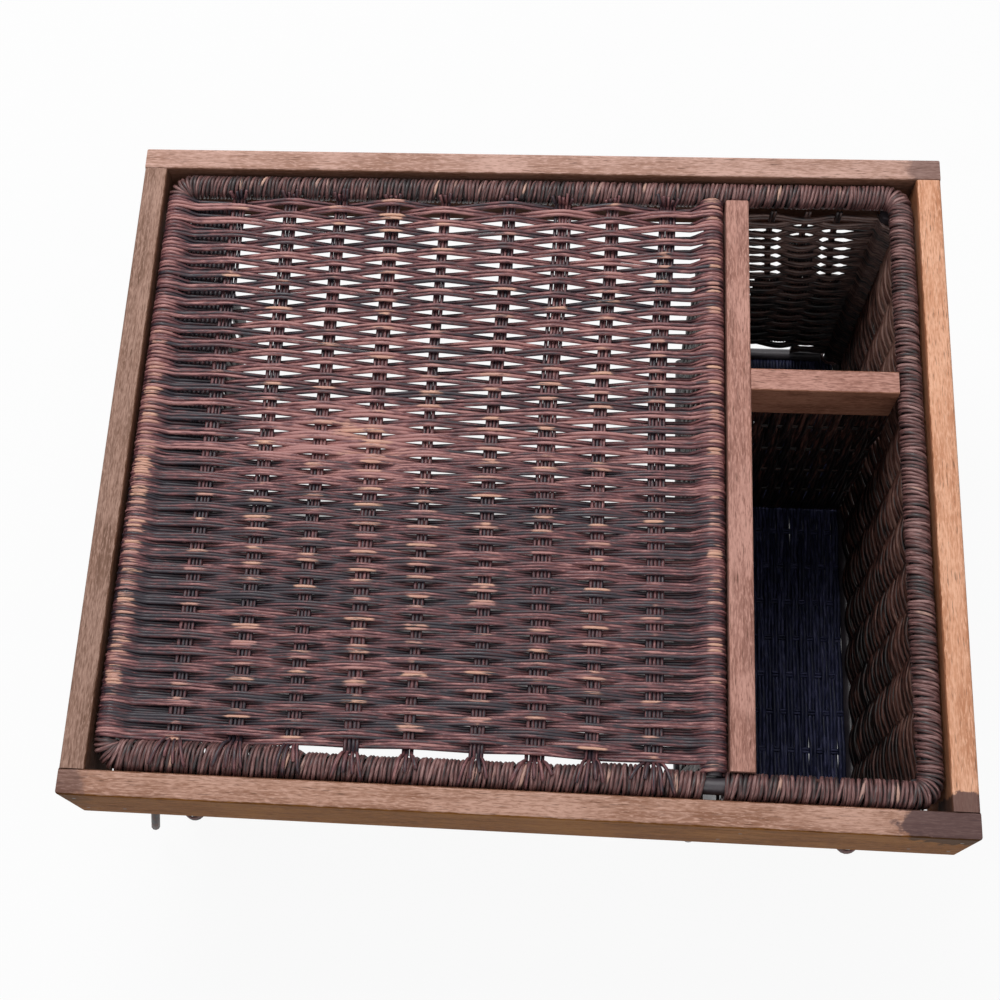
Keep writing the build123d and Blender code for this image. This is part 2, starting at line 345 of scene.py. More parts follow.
def weave_across(strand, row, y_row, side_step, crown, lifts, worn, reach, stray):
    """Lay one strand of a deck row from the left roll to the right one.

    The crown raises it above the row's other strands. Each stake has a lift, a chance of wear and
    its reach. The first and the last chance of wear are the rolls'.
    """
    dive = 1 if row % 2 == 0 else -1
    # Painted shade: the under rows are darkened in the first bay, beside the left roll.
    bay_shade = 0.40 if dive < 0 else 0.06

    def lay_at(x, z, wear=0.0):
        y = y_row + side_step + deck_row_shift(row, x) + 0.45 * MM * wander(x * 26, row * 1.7, stray)
        bay = first_bay(x)
        red = red_patch(x, y)
        # Painted highlight and shade: a strand is lighter where it rises over a stake and darker where it
        # dips under one, and painted shade darkens the first bay.
        painted_light_and_shade = 0.03 * (z - RIM_Z) / MM - bay_shade * bay
        z += 0.3 * MM * wander(x * 30, stray * 3, side_step * 900)
        wear += 0.55 * red * smooth(-0.1, 0.5, wander(x * 60, row * 1.3, stray))
        strand.add((x, y, z), deck_tone(x, y) + painted_light_and_shade, wear, 1 + 0.28 * red + 0.12 * bay)

    roll = ROD_RADIUS + strand.radius + 0.15 * MM + crown
    lean = wander(row * 2.3 + 0.5, stray * 4.1, 6.3)
    wear_left = (0.10 + 0.95 * worn[0]) * ease(125, 30, y_row) * ease(-145, -115, y_row)
    wear_right = smooth(0.45, 1.0, worn[-1]) * ease(-150, -90, y_row)
    for step in range(ROLL_STEPS):
        angle = radians(ROLL_FOOT - ROLL_SWEEP * step / (ROLL_STEPS - 1))
        top = smooth(0.62, 0.98, sin(angle + 0.25 * lean))
        lay_at(-RIM_X + roll * cos(angle), RIM_Z + roll * sin(angle), wear_left * top)

    roll_in = roll * cos(radians(ROLL_END))
    roll_rise = roll * sin(radians(ROLL_END))
    knots = [(-RIM_X + roll_in, roll_rise, wear_left, 0.5 + 0.4 * lean)]
    knots.append((-RIM_X + DIVE_LENGTH, 0.5 * dive * lifts[0], 0.0, 0.3))
    for index in range(DECK_STAKES):
        over = 1 if (row + index) % 2 == 0 else -1
        bare = smooth(1 - 0.80 * STAKE_WEAR[index], 1.02, worn[index + 1]) if over > 0 else 0.0
        knots.append((deck_stake_x(index, y_row), over * (lifts[index] + crown), bare, reach[index]))
    knots.append((EDGE_X - DIVE_LENGTH, 0.7 * over * lifts[-1], 0.0, 0.3))
    knots.append((EDGE_X - roll_in, roll_rise, 0.5 * wear_right, 0.3))
    for (x0, z0, wear0, reach0), (x1, z1, wear1, reach1) in zip(knots, knots[1:]):
        for share in BAY_SHARES if x1 - x0 > 1.6 * DIVE_LENGTH else DIVE_SHARES:
            turn = cos(pi * share)
            z = (z0 + z1) / 2 + (z0 - z1) / 2 * turn * abs(turn) ** 0.3
            wear = wear0 * smooth(reach0, 0.05, share) + wear1 * smooth(1 - reach1, 0.95, share)
            lay_at(x0 + (x1 - x0) * share, RIM_Z + z, wear)

    for step in range(1, ROLL_STEPS):
        angle = radians(180 - ROLL_END - ROLL_SWEEP * step / (ROLL_STEPS - 1))
        top = smooth(0.55, 0.95, sin(angle))
        lay_at(EDGE_X + roll * cos(angle), RIM_Z + roll * sin(angle), wear_right * top)


def first_bay_shade_canes():
    """Painted shade: darkest canes side by side under the bay between the left roll and the first stake, a
    dark sheet where there is only shade.
    """
    low = -RIM_X + ROD_RADIUS + FIRST_BAY_SHADE_CANE_RADIUS
    high = STAKE_PLACES[0] - 3 * MM
    count = round((high - low) / (1.9 * FIRST_BAY_SHADE_CANE_RADIUS))
    for number, home in enumerate(stations(low, high, count)):
        strand = Strand(FIRST_BAY_SHADE_CANE_RADIUS, 0.0)
        for y in stations(DECK_LOW.y, DECK_HIGH.y, steps=40):
            x = home + 0.3 * MM * wander(y * 30, number * 3.1, 2.5)
            strand.add((x, y, DECK_LOW.z + 0.2 * MM * wander(y * 45, number * 1.7, 8.5)))
        yield strand


def edge_rod_turns():
    """Turns of cane that cover both ends of the deck's edge rod."""
    chance = random.Random(29)
    turns = 3
    radius = ROD_RADIUS + 1.2 * MM
    last = RIM_Y - BINDING_RADIUS + 0.5 * MM
    for end, first in ((-1, RIM_Y - DECK_FRONT_MARGIN), (1, RIM_Y - DECK_REAR_MARGIN)):
        strand = Strand(EDGE_TURN_RADIUS, 0.42)
        tones = [chance.uniform(-0.15, 0.15) for _ in range(turns + 1)]
        for step, y in enumerate(stations(end * first, end * last, turns * TURN_STEPS)):
            angle = 2 * pi * step / TURN_STEPS
            point = (EDGE_X + radius * cos(angle), y, RIM_Z + radius * sin(angle))
            strand.add(point, tones[step // TURN_STEPS], 0.4 * max(sin(angle), 0))
        yield strand


def deck_stake_bundles():
    """Flat bundles of cane, whose ends lap over the bound rim."""
    chance = random.Random(23)
    rear_lap = BINDING_RADIUS + 0.75 * MM
    rear_inner = RIM_Y - rear_lap
    for index, count in enumerate(STAKE_STRANDS):
        extra, aside = front_coil(STAKE_PLACES[index], 0.0)
        front_lap = rear_lap + extra
        front_inner = RIM_Y + aside - front_lap
        for number in range(count):
            radius = STAKE_RADIUS * chance.uniform(0.82, 1.0)
            strand = Strand(radius, chance.uniform(0.14, 0.38))
            side_step = (number - (count - 1) / 2) * 1.95 * radius
            fan = 1 + 1.2 * chance.random()
            stray = chance.uniform(0, 50)
            front_reach, rear_reach = chance.uniform(80, 150), chance.uniform(28, 64)
            for step in range(LAP_STEPS, 0, -1):
                angle = radians(180 - front_reach * step / LAP_STEPS)
                x = deck_stake_x(index, -front_inner) + side_step * (1 + fan * step / LAP_STEPS)
                y = -RIM_Y - aside - front_lap * cos(angle)
                strand.add((x, y, RIM_Z + rear_lap * sin(angle)), 0.1)
            for y in stations(-front_inner, rear_inner, steps=42):
                x = deck_stake_x(index, y) + side_step + 0.25 * MM * wander(y * 40, stray, 1.5)
                strand.add((x, y, RIM_Z + 0.2 * MM * wander(y * 60, stray, 4.5)), deck_tone(x, y) * 0.5)
            for step in range(1, LAP_STEPS + 1):
                angle = radians(180 - rear_reach * step / LAP_STEPS)
                x = deck_stake_x(index, rear_inner) + side_step * (1 + 0.3 * fan * step / LAP_STEPS)
                strand.add((x, RIM_Y + rear_lap * cos(angle), RIM_Z + rear_lap * sin(angle)), 0.1)
            yield strand


# Rim


def rim_place(run):
    """Point and heading at a distance along the rim from the front of its left side."""
    for quarter, (side, end) in enumerate(((-1, -1), (1, -1), (1, 1), (-1, 1))):
        heading = quarter * pi / 2
        centre = Vector((side * RIM_ACROSS / 2, end * RIM_DEEP / 2, RIM_Z))
        if run <= RIM_BEND:
            turn = heading - pi / 2 + run / CORNER_BEND
            return centre + CORNER_BEND * outward(turn), turn
        run -= RIM_BEND
        length = RIM_DEEP if quarter % 2 else RIM_ACROSS
        if run <= length:
            ahead = Vector((cos(heading), sin(heading), 0))
            return centre + CORNER_BEND * outward(heading) + run * ahead, heading
        run -= length
    return Vector((-RIM_X, -RIM_Y + CORNER_BEND, RIM_Z)), 3 * pi / 2


def front_run(x):
    """Distance along the rim of a place on its front side."""
    return RIM_BEND + x + RIM_X - CORNER_BEND


def rear_run(x):
    """Distance along the rim of a place on its rear side."""
    return 3 * RIM_BEND + RIM_ACROSS + RIM_DEEP + RIM_X - CORNER_BEND - x


def outward(heading):
    """The way out of the rim at a heading."""
    return Vector((sin(heading), -cos(heading), 0))


def front_coil(x, heading):
    """How much fuller the rim's front side is wound, and how far it is set outward for that."""
    front = max(cos(heading), 0) ** 4
    left = 1.3 * ease(-98, -106, x)
    between = 0.8 * ease(28, 40, x) * ease(78, 64, x)
    extra = front * MM * (0.75 + left + between)
    return extra, 0.9 * MM * front - extra


def wound_rim(start, end, seed):
    """Turns of cane in groups of strands, wound round the rim rod and a filling cane."""
    chance = random.Random(seed)
    turns = max(1, round((end - start) / TURN_PITCH))
    pitch = (end - start) / turns
    for number in range(TURN_STRANDS):
        strand = Strand(TURN_RADIUS, 0.42)
        inset = (number - (TURN_STRANDS - 1) / 2) * pitch / TURN_STRANDS * 0.96
        tones = [chance.uniform(-0.15, 0.16) for _ in range(turns + 2)]
        worn = [chance.random() for _ in range(turns + 2)]
        girths = [chance.uniform(0.84, 1.10) for _ in range(turns + 2)]
        strays = [chance.uniform(-0.9, 0.9) * MM for _ in range(turns + 2)]
        for step in range(turns * TURN_STEPS + 1):
            whole, part = divmod(step, TURN_STEPS)
            part /= TURN_STEPS
            angle = 2 * pi * part - pi / 2
            run = start + pitch * (whole + part) + inset + strays[whole] * sin(2 * pi * part)
            point, heading = rim_place(min(max(run, start), end))
            swell = 0.40 * MM * wander(run * 45, seed, 2.2)
            swell += 0.22 * MM * wander(whole * 3.3 + part, number * 7, seed)
            radius = BINDING_RADIUS - TURN_RADIUS + 0.30 * MM + swell
            extra, aside = front_coil(point.x, heading)
            rear_left = max(-cos(heading), 0) ** 4 * ease(20, -90, point.x)
            tone = tones[whole] + 0.22 * wander(run * 22, seed, 5) - 0.17 * rear_left
            wear = smooth(0.66, 1.0, worn[whole]) * max(sin(angle), 0) ** 2
            wear *= smooth(-0.2, 0.5, wander(run * 240, number * 3.3, seed))
            girth = girths[whole] + (girths[whole + 1] - girths[whole]) * part
            point = point + ((radius + extra) * cos(angle) + aside) * outward(heading)
            strand.add(point + radius * Vector((0, 0, sin(angle))), tone, wear, girth)
        yield strand
    yield rim_core(start, end, turns)


def rim_core(start, end, steps):
    """The cane that fills the turns beside the rim rod."""
    core = Strand(CORE_RADIUS, 0.20)
    for run in stations(start, end, steps):
        point, heading = rim_place(run)
        aside = CORE_ASIDE + sum(front_coil(point.x, heading))
        core.add(point + aside * outward(heading) + Vector((0, 0, CORE_RISE)))
    return core


def rod_mesh(name, points, seed, closed=False):
    """A rod with the slow swells and the low rings of a cane's joints."""
    swells = []
    for number in range(len(points)):
        joint = 0.03 if number % ROD_JOINT_STEPS == 7 + seed % 5 else 0.0
        swells.append(0.97 + 0.02 * wander(number * 0.2, seed, 0.7) + joint)
    mesh = swept_mesh(name, [(points, swells)], ROD_RADIUS, resolution=6, caps=True, closed=closed)
    mesh.shade_smooth()
    return mesh


def straight_rod(name, node, seed):
    """A rod in the place of a straight packed rod or post."""
    low, high = corners(node)
    size = high - low
    axis = max(range(3), key=lambda index: size[index])
    points = []
    for along in stations(low[axis], high[axis], max(12, round(size[axis] / ROD_STEP))):
        point = middle(node)
        point[axis] = along
        points.append(point)
    return rod_mesh(name, points, seed)


# Walls and floor


def painted_shade_below(point):
    """Painted shade: how much lighter or darker a well's strand is at a point, darker the lower it lies."""
    return 0.40 * ease(20, 185, point.z) - 0.22


def right_wall_shade(point):
    """Painted light and shade: the right wall is lightest behind the cross bar and darker towards the front.
    """
    rear = 0.22 * ease(30, 90, point.y)
    return painted_shade_below(point) + rear - 0.10 * ease(10, -60, point.y)


@dataclass
class Panel:
    """A flat woven panel in the place of a packed one.

    Strands run along one axis, and rows follow along the other, by the reach beyond the packed
    panel. Stakes are places, or a number that makes equal bays. The ends tell where a row begins
    and stops, and the tail goes on from there. Slack is how far a row swings, thinning where light
    shows through, lean how far stakes move, the shade gives a strand's painted shade at a point, and
    the backing tells how high the darkest canes beside the stakes reach: painted shade that closes
    gaps where only shade shows through.
    """

    name: str
    run_axis: int
    row_axis: int
    stakes: int | tuple
    seed: int
    tone: float
    swing: float
    radius: float
    reach: float = 0.0
    row_pitch: float = WALL_ROW_PITCH
    tail: tuple = ()
    ends: Callable = None
    slack: Callable = lambda across: 1.0
    thinning: Callable = lambda along, across: 0.0
    lean: Callable = lambda across: 0.0
    # By default a strand gets the painted shade of the wells, darker below
    shade: Callable = painted_shade_below
    shade_backing: tuple = ()
    foot: float = -inf

    def __post_init__(self):
        self.chance = random.Random(self.seed)
        self.low, self.high = corners(self.name + "_weave")
        self.run_ends = self.low[self.run_axis], self.high[self.run_axis]
        if isinstance(self.stakes, int):
            self.stakes = stations(*self.run_ends, self.stakes + 1)[1:-1]

    def spot(self, along, across, out):
        """A point by its place along the run, its row and its offset."""
        point = (self.low + self.high) / 2
        point[self.run_axis] = along
        point[self.row_axis] = across
        point[3 - self.run_axis - self.row_axis] += out
        return point

    def weavers(self):
        """The strands, two in a row."""
        row_low = self.low[self.row_axis] - self.reach
        row_high = self.high[self.row_axis] + self.reach
        rows = round((row_high - row_low) / self.row_pitch)
        pitch = (row_high - row_low) / rows
        for row in range(rows):
            across = row_low + pitch * (row + 0.5)
            row_tone = self.tone + self.chance.uniform(-0.12, 0.16)
            route = self.route(row, across)
            sag = self.chance.uniform(0, 60)
            for side in (-1, 1):
                radius = self.radius * self.chance.uniform(0.95, 1.05)
                strand = Strand(radius, row_tone + self.chance.uniform(-0.10, 0.10))
                side_step = side * min(self.radius, pitch / 4)
                for along, out in route:
                    thin = self.thinning(along, across)
                    drift = 0.4 * MM * wander(along * 22, row * 0.6, sag)
                    point = self.spot(along, across + side_step * (1 - 0.6 * thin) + drift, out)
                    strand.add(point, self.shade(point), swell=1 - 0.30 * thin)
                yield strand

    def route(self, row, across):
        """Places and offsets of a row, over and under the stakes in turn."""
        first, last = self.ends(across) if self.ends else self.run_ends
        knots = [(first, 0.0)]
        for index, stake in enumerate(self.stakes):
            swing = self.swing * self.chance.uniform(0.75, 1.15) * self.slack(across)
            along = stake + self.lean(across)
            if along > first:
                knots.append((along, swing if (row + index) % 2 == 0 else -swing))
        knots += [(last, 0.0), *self.tail]
        points = knots[:1]
        for (along0, out0), (along1, out1) in zip(knots, knots[1:]):
            for share in BAY_SHARES:
                out = out0 + (out1 - out0) * (1 - cos(pi * share)) / 2
                points.append((along0 + (along1 - along0) * share, out))
        return points

    def uprights(self):
        """The stakes, two canes each, with the darkest canes beside them as painted shade."""
        low, high = (corner[self.row_axis] for corner in corners(self.name + "_stakes"))
        bottom = max(low, self.foot)
        canes = 2 + SHADE_BACKING_CANES if self.shade_backing else 2
        for index, stake in enumerate(self.stakes):
            for number in range(canes):
                side = number - (canes - 1) / 2
                whole = abs(side) < 1
                top = high if whole else self.shade_backing[index]
                # Painted shade: the canes beside a stake take the darkest tone.
                tone = self.tone + self.chance.uniform(-0.16, 0.02) if whole else 0.0
                strand = Strand(WALL_STAKE_RADIUS, tone)
                for across in stations(bottom, top, steps=24):
                    sway = 0.2 * MM * wander(across * 50, stake * 70, self.seed)
                    along = stake + self.lean(across) + side * 2 * WALL_STAKE_RADIUS
                    strand.add(self.spot(along, across, sway))
                yield strand

    def weave(self, finish):
        """Put the panel in the scene."""
        place_strands(self.name + "_strands", self.weavers(), finish, "cane_weave", self.name + "_weave")
        place_strands(self.name + "_uprights", self.uprights(), finish, "cane_weave", self.name + "_stakes")


def floor_strand_ends(_):
    """The floor's strands run from the front foot rod to the rear one."""
    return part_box("wells_front_foot_rod")[1][Y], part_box("wells_rear_foot_rod")[0][Y] + 1.5 * MM


def rear_strand_ends(z):
    """The rear wall's lowest rows begin right of a slot above the foot rod."""
    low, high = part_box("wells_rear_wall_weave")
    return SLOT_END if z < low[Z] + SLOT_ROWS * REAR_ROW_PITCH else low[X], high[X]


def rear_stake_lean(z):
    """The rear wall's stakes lean to the left at the top of the window."""
    return REAR_LEAN * min(max(REAR_LEAN_MIDDLE - z, -REAR_LEAN_REACH), REAR_LEAN_REACH)


def window_height(z):
    """Share of the rear wall's window at a height."""
    return smooth(WINDOW_FOOT - 3 * MM, WINDOW_FOOT + 4 * MM, z) * smooth(WINDOW_TOP, WINDOW_TOP - 9 * MM, z)


def rear_slack(z):
    """The rear wall's rows swing widest in the window."""
    return 0.7 + 0.3 * window_height(z)


def rear_thinning(x, z):
    """Light shows through the upper rear wall on both sides of its outer stakes."""
    stakes = [place + rear_stake_lean(z) for place in REAR_STAKES[::2]]
    near = min(abs(x - stake - side * WINDOW_ASIDE) for stake in stakes for side in (-1, 1))
    return window_height(z) * ease(2.9, 1.3, near)


# Feet


def wound_feet():
    """Cane wound round the lower end of each corner post."""
    chance = random.Random(61)
    low, high = corners("post_feet")
    height = high.z - low.z
    turns = height / (2 * STRAND_RADIUS) - 1
    for post in ("left_front_post", "left_rear_post", "right_front_post", "right_rear_post"):
        centre = middle(post)
        radius = high.y - abs(centre.y) - STRAND_RADIUS
        strand = Strand(STRAND_RADIUS, 0.34 + chance.uniform(-0.1, 0.12))
        for share in stations(0, 1, steps=round(turns * FOOT_TURN_STEPS)):
            angle = 2 * pi * turns * share
            z = STRAND_RADIUS + (height - 2 * STRAND_RADIUS) * share
            point = (centre.x + radius * cos(angle), centre.y + radius * sin(angle), z)
            strand.add(point, 0.1 * wander(angle, 0.5, centre.x * 20))
        yield strand


def loose_cane_end():
    """A thick cane's loose end, which hangs from the left wall's front edge to below the board."""
    strand = Strand(LOOSE_END_RADIUS, 0.30)
    for x, y, z in LOOSE_END_ROUTE:
        strand.add((x * MM, y * MM, z * MM), swell=0.6 if z < LOOSE_END_TIP else 1.0)
    yield strand


# Shader helpers


COLOUR = "NodeSocketColor"
VALUE = "NodeSocketFloat"
VECTOR = "NodeSocketVector"
SURFACE = {"Color": COLOUR, "Roughness": VALUE, "Height": VALUE}


def add_node(tree, kind, inputs=None, **settings):
    """Add a shader node with its inputs and settings."""
    made = tree.nodes.new(kind)
    for key, value in settings.items():
        setattr(made, key, value)
    for key, value in (inputs or {}).items():
        made.inputs[key].default_value = value
    return made


def join(source, target):
    """Link an output to an input."""
    target.id_data.links.new(source, target)


def feed(value, target):
    """Give an input an output to follow, a colour or a number."""
    if isinstance(value, bpy.types.NodeSocket):
        join(value, target)
    else:
        target.default_value = (*value, 1.0) if isinstance(value, tuple) else value


def tree_of(*values):
    """The node tree of the first socket among values."""
    return next(value.id_data for value in values if isinstance(value, bpy.types.NodeSocket))


def add_at(vector, kind, inputs=None, **settings):
    """Add a node that works on a vector."""
    made = add_node(vector.id_data, kind, inputs, **settings)
    join(vector, made.inputs["Vector"])
    return made


def noise_value(vector, scale, detail=4.0, roughness=0.55, distortion=0.0):
    """A noise texture's value."""
    inputs = {"Scale": scale, "Detail": detail, "Roughness": roughness, "Distortion": distortion}
    return add_at(vector, "ShaderNodeTexNoise", inputs).outputs["Fac"]


def spread(source, low, high, out_low=0.0, out_high=1.0):
    """Map a range of a value smoothly to another range."""
    inputs = {"From Min": low, "From Max": high, "To Min": out_low, "To Max": out_high}
    made = add_node(source.id_data, "ShaderNodeMapRange", inputs, interpolation_type="SMOOTHSTEP")
    join(source, made.inputs["Value"])
    return made.outputs["Result"]


def mix_colour(share, first, second, blend="MIX"):
    """Mix two colours, each a socket or a plain colour."""
    made = add_node(tree_of(share, first), "ShaderNodeMix", data_type="RGBA", blend_type=blend)
    for label, value in (("Factor", share), ("A", first), ("B", second)):
        feed(value, next(item for item in made.inputs if item.name == label and item.enabled))
    return next(item for item in made.outputs if item.enabled)


def mix_shader(share, first, second):
    """Mix two shaders by a share."""
    made = add_node(share.id_data, "ShaderNodeMixShader")
    for source, target in zip((share, first, second), made.inputs):
        join(source, target)
    return made.outputs["Shader"]


def combine(operation, first, second):
    """A math node on two values, each a socket or a number."""
    made = add_node(tree_of(first, second), "ShaderNodeMath", operation=operation)
    feed(first, made.inputs[0])
    feed(second, made.inputs[1])
    return made.outputs["Value"]


def combine_vectors(operation, *vectors):
    """The outputs of a vector math node."""
    made = add_node(vectors[0].id_data, "ShaderNodeVectorMath", operation=operation)
    for vector, target in zip(vectors, made.inputs):
        join(vector, target)
    return made.outputs


def object_place(tree):
    """Object coordinates."""
    return add_node(tree, "ShaderNodeTexCoord").outputs["Object"]


def attribute(tree, name):
    """The value of a mesh attribute."""
    return add_node(tree, "ShaderNodeAttribute", attribute_name=name).outputs["Fac"]


def bump(height, strength, distance):
    """The normal of a surface that follows a height."""
    made = add_node(height.id_data, "ShaderNodeBump", {"Strength": strength, "Distance": distance})
    join(height, made.inputs["Height"])
    return made.outputs["Normal"]


def start_material(name):
    """A node material with the inputs of its Principled shader."""
    material = bpy.data.materials.new(name)
    material.use_nodes = True
    tree = material.node_tree
    tree.nodes.clear()
    shader = add_node(tree, "ShaderNodeBsdfPrincipled")
    output = add_node(tree, "ShaderNodeOutputMaterial")
    join(shader.outputs["BSDF"], output.inputs["Surface"])
    return material, tree, shader.inputs


def blotched_material(name, scale, detail, dark, light):
    """A node material that wavers between two colours by a noise."""
    material, tree, shader = start_material(name)
    blotch = noise_value(object_place(tree), scale, detail)
    ramp = add_node(tree, "ShaderNodeValToRGB")
    for element, spot, colour in zip(ramp.color_ramp.elements, (0.3, 0.7), (dark, light)):
        element.position = spot
        element.color = (*colour, 1.0)
    join(blotch, ramp.inputs["Fac"])
    join(ramp.outputs["Color"], shader["Base Color"])
    return material, tree, shader, blotch


def start_group(name, inputs, outputs):
    """A node group with its given sockets and those of its result."""
    tree = bpy.data.node_groups.new(name, "ShaderNodeTree")
    for way, sockets in (("INPUT", inputs), ("OUTPUT", outputs)):
        for label, kind in sockets.items():
            tree.interface.new_socket(name=label, in_out=way, socket_type=kind)
    return tree, add_node(tree, "NodeGroupInput").outputs, add_node(tree, "NodeGroupOutput").inputs


# Colours and cane


STAIN_COLOUR = (0.095, 0.060, 0.064)
DECK_COLOURS = {
    "Black": (0.021, 0.016, 0.024),
    "Brown": (0.064, 0.029, 0.034),
    "Red": (0.160, 0.058, 0.063),
    "Pale": (0.430, 0.205, 0.190),
    "Worn": (0.690, 0.385, 0.270),
}
RIM_COLOURS = {
    "Black": (0.022, 0.016, 0.017),
    "Brown": (0.068, 0.034, 0.033),
    "Red": (0.158, 0.069, 0.065),
    "Pale": (0.350, 0.200, 0.185),
    "Worn": (0.600, 0.360, 0.270),
}
# Colours of the wells' cane, darkened as painted shade of the deep wells
WELL_SHADED_COLOURS = {
    "Black": (0.004, 0.003, 0.003),
    "Brown": (0.026, 0.012, 0.010),
    "Red": (0.085, 0.034, 0.026),
    "Pale": (0.170, 0.090, 0.070),
    "Worn": (0.260, 0.150, 0.110),
}
# Colours of the rear wall's cane: darkened as painted shade, with cooler greys that paint the sky's glints
# on its strands
WELL_REAR_SHADE_AND_GLINT_COLOURS = {
    "Black": (0.006, 0.006, 0.007),
    "Brown": (0.030, 0.020, 0.020),
    "Red": (0.090, 0.043, 0.035),
    "Pale": (0.200, 0.120, 0.100),
    "Worn": (0.280, 0.190, 0.160),
}
# Bluish colours of the wells' floor cane, darkened as painted shade
FLOOR_SHADED_COLOURS = {
    "Black": (0.010, 0.012, 0.032),
    "Brown": (0.030, 0.033, 0.080),
    "Red": (0.062, 0.064, 0.130),
    "Pale": (0.140, 0.140, 0.210),
    "Worn": (0.240, 0.220, 0.250),
}


def cane_group():
    """Stained cane: fibres along the strand, scuffs, rubbed spots and worn tops."""
    sockets = {"Vector": VECTOR, "Tone": VALUE, "Wear": VALUE, **dict.fromkeys(DECK_COLOURS, COLOUR)}
    tree, given, result = start_group("stained_cane", sockets, SURFACE)
    fibre = noise_value(given["Vector"], 900, 3)
    patch = noise_value(given["Vector"], 130, 4)
    scuff = noise_value(given["Vector"], 2600, 2)
    tone = combine("ADD", given["Tone"], spread(patch, 0.3, 0.7, -0.25, 0.25))
    tone = combine("ADD", tone, spread(fibre, 0.3, 0.7, -0.36, 0.34))
    tone = combine("ADD", tone, spread(scuff, 0.56, 0.74, 0.0, 0.50))
    colour = mix_colour(spread(tone, 0.02, 0.28), given["Black"], given["Brown"])
    colour = mix_colour(spread(tone, 0.25, 0.58), colour, given["Red"])
    colour = mix_colour(spread(tone, 0.55, 0.98), colour, given["Pale"])
    ragged = combine("MULTIPLY", given["Wear"], spread(fibre, 0.30, 0.62, 0.35, 1.40))
    worn = mix_colour(spread(patch, 0.35, 0.65), given["Worn"], given["Pale"])
    join(mix_colour(spread(ragged, 0.26, 0.70), colour, worn), result["Color"])
    join(spread(fibre, 0.2, 0.8, 0.36, 0.58), result["Roughness"])
    join(fibre, result["Height"])
    return tree


def cane_material(name, group, colours, shine=0.45, top_only=True):
    """A finish for one set of strands, whose fibres follow each strand's run."""
    material, tree, shader = start_material(name)
    around = add_at(add_node(tree, "ShaderNodeUVMap").outputs["UV"], "ShaderNodeSeparateXYZ").outputs["Y"]
    fibres = add_node(tree, "ShaderNodeCombineXYZ")
    join(combine("MULTIPLY", attribute(tree, "run"), 0.12), fibres.inputs["X"])
    join(combine("MULTIPLY", around, 0.005), fibres.inputs["Y"])
    cane = add_at(fibres.outputs["Vector"], "ShaderNodeGroup", node_tree=group)
    wear = attribute(tree, "wear")
    if top_only:
        normal = add_node(tree, "ShaderNodeNewGeometry").outputs["Normal"]
        upward = add_at(normal, "ShaderNodeSeparateXYZ").outputs["Z"]
        wear = combine("MULTIPLY", wear, spread(upward, 0.1, 0.75))
    for label, value in {"Tone": attribute(tree, "tone"), "Wear": wear, **colours}.items():
        feed(value, cane.inputs[label])
    join(cane.outputs["Color"], shader["Base Color"])
    join(cane.outputs["Roughness"], shader["Roughness"])
    join(bump(cane.outputs["Height"], 0.35, 0.2 * MM), shader["Normal"])
    feed(shine, shader["Specular IOR Level"])
    return material


def rod_material():
    """Smooth dark stained cane rod."""
    material, tree, shader, blotch = blotched_material(
        "stained_rod", 60, 4, (0.020, 0.018, 0.024), (0.062, 0.050, 0.056))
    join(spread(blotch, 0.3, 0.7, 0.32, 0.50), shader["Roughness"])
    join(bump(noise_value(object_place(tree), 700, 3), 0.2, 0.3 * MM), shader["Normal"])
    return material


# Wood and steel


def grain_group():
    """Open wood grain along X: fibres, slow bands, fine specks and dark pores."""
    sockets = {"Vector": VECTOR, "Dark": COLOUR, "Middle": COLOUR, "Light": COLOUR}
    tree, given, result = start_group("board_grain", sockets, SURFACE)

    def grain(along, across, *settings):
        stretched = add_at(given["Vector"], "ShaderNodeMapping", {"Scale": (along, across, across)})
        return noise_value(stretched.outputs["Vector"], *settings)

    slow = grain(5, 60, 2.2, 5, 0.6, 0.8)
    fibre = grain(26, 420, 2.0, 5, 0.65)
    speck = grain(150, 800, 1.8, 3)
    cloud = grain(11, 16, 2.0, 4)
    pores = spread(grain(75, 900, 1.6, 3), 0.42, 0.28, 0.0, 0.65)
    body = mix_colour(spread(slow, 0.36, 0.64), given["Dark"], given["Middle"])
    body = mix_colour(spread(cloud, 0.42, 0.68, 0.0, 0.70), body, given["Light"])
    body = mix_colour(spread(fibre, 0.46, 0.70, 0.0, 0.60), body, given["Light"])
    body = mix_colour(spread(fibre, 0.48, 0.30, 0.0, 0.70), body, given["Dark"])
    body = mix_colour(spread(speck, 0.50, 0.66, 0.0, 0.70), body, given["Light"])
    body = mix_colour(spread(speck, 0.48, 0.34, 0.0, 0.60), body, given["Dark"])
    join(mix_colour(pores, body, (0.09, 0.046, 0.028)), result["Color"])
    join(spread(fibre, 0.2, 0.8, 0.70, 0.52), result["Roughness"])
    join(combine("SUBTRACT", fibre, pores), result["Height"])
    return tree


def stain_group():
    """A soft-edged stain round a centre, with a ragged rim."""
    sockets = {"Vector": VECTOR, "Centre": VECTOR, "Reach": VECTOR, "Softness": VALUE}
    tree, given, result = start_group("ragged_stain", sockets, {"Mask": VALUE})
    away = combine_vectors("SUBTRACT", given["Vector"], given["Centre"])["Vector"]
    far = combine_vectors("LENGTH", combine_vectors("DIVIDE", away, given["Reach"])["Vector"])["Value"]
    frayed = spread(noise_value(given["Vector"], 90, 5), 0.25, 0.75, -0.35, 0.35)
    fade = add_node(tree, "ShaderNodeMapRange", {"From Max": 1.0, "To Min": 1.0, "To Max": 0.0},
                    interpolation_type="SMOOTHSTEP")
    join(combine("ADD", far, frayed), fade.inputs["Value"])
    join(combine("SUBTRACT", 1.0, given["Softness"]), fade.inputs["From Min"])
    join(fade.outputs["Result"], result["Mask"])
    return tree


